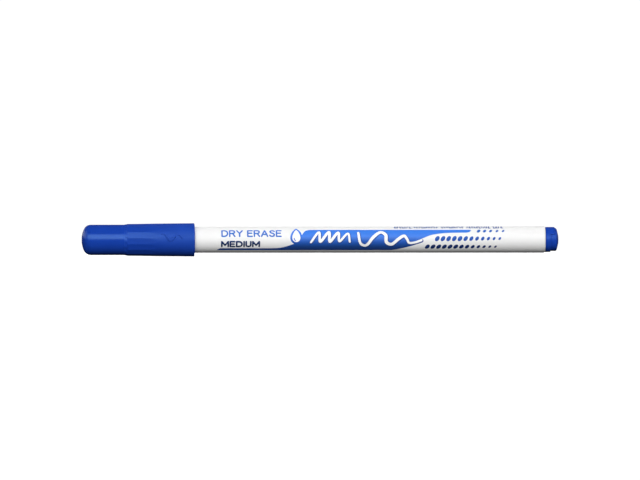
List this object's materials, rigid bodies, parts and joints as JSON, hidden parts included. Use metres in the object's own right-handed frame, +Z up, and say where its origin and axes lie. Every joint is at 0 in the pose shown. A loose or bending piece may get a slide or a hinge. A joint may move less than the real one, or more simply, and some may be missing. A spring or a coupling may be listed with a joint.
{
  "type": "felt tip marker",
  "caption": "Slim dry-erase felt tip marker with a printed tube barrel, a pull-off cap with an inner seal, a bullet nib, a fibre ink reservoir and a plugged end.",
  "frame": {"origin": "middle of the capped marker's box, on the surface it lies on", "axes": "+X along the marker from the cap's closed end to the end plug, +Z up, -Y towards the printed face"},
  "size_m": [0.139, 0.0096, 0.0097],
  "materials": {
    "cap": "satin",
    "inner_cap": "satin",
    "barrel": "satin",
    "front_section": "satin",
    "nib": "matte",
    "reservoir_core": "matte",
    "reservoir_film": "gloss",
    "end_plug": "satin"
  },
  "bodies": {
    "barrel_assembly": {"barrel": "barrel", "front_section": "front_section", "nib": "nib", "reservoir_core": "reservoir_core", "reservoir_film": "reservoir_film", "end_plug": "end_plug"},
    "cap_assembly": {"cap": "cap", "inner_cap": "inner_cap"}
  },
  "joints": [
    {"name": "cap_pull", "type": "slide", "parent": "barrel_assembly", "child": "cap_assembly", "axis": [-1, 0, 0], "range_m": [0, 0.04]}
  ]
}
